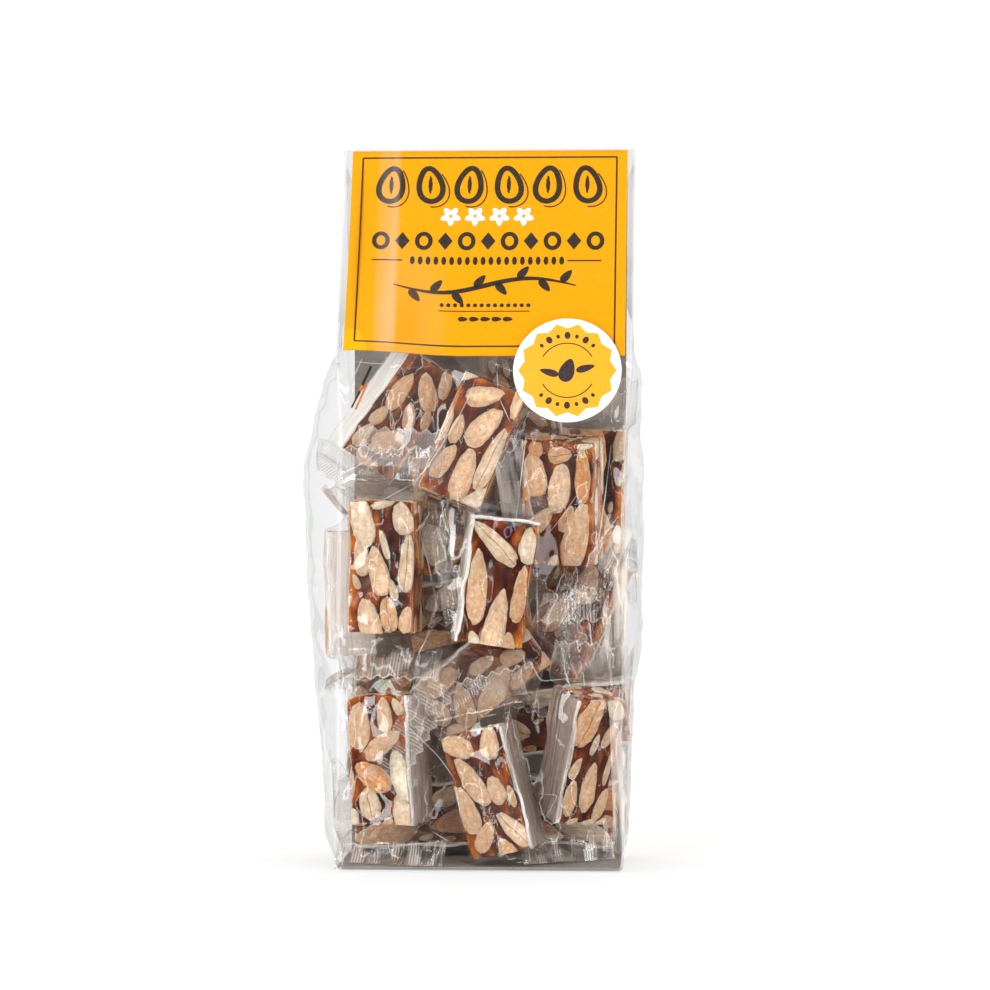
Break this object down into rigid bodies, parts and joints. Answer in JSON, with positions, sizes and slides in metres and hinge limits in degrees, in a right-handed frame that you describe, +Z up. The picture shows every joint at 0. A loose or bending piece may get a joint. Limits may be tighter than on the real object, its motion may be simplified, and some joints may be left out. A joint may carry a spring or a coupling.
{
  "type": "bag of wrapped nougat blocks",
  "caption": "Upright clear bag of wrapped almond nougat blocks, with a folded card as base, back and label, and a round seal sticker.",
  "frame": {"origin": "on the floor, at the middle of the bag's flat base", "axes": "+Z up, -Y the front with the label, +X to the viewer's right"},
  "size_m": [0.0964, 0.0475, 0.2053],
  "materials": {
    "filled_film": "clear glossy film over wrapped sweets",
    "card": "satin print on grey board",
    "sticker": "satin paper with a printed seal",
    "caramel": "dark cooked caramel, glossy where cut",
    "almond": "dry roasted almond, dull",
    "wafer": "off-white wafer paper, dull",
    "wrapper": "thin clear wrapper film, glossy",
    "dark_ink": "printed dark brown ink"
  },
  "bodies": {
    "root": {"bag": "filled_film", "card": "card", "sticker": "sticker"}
  },
  "joints": []
}
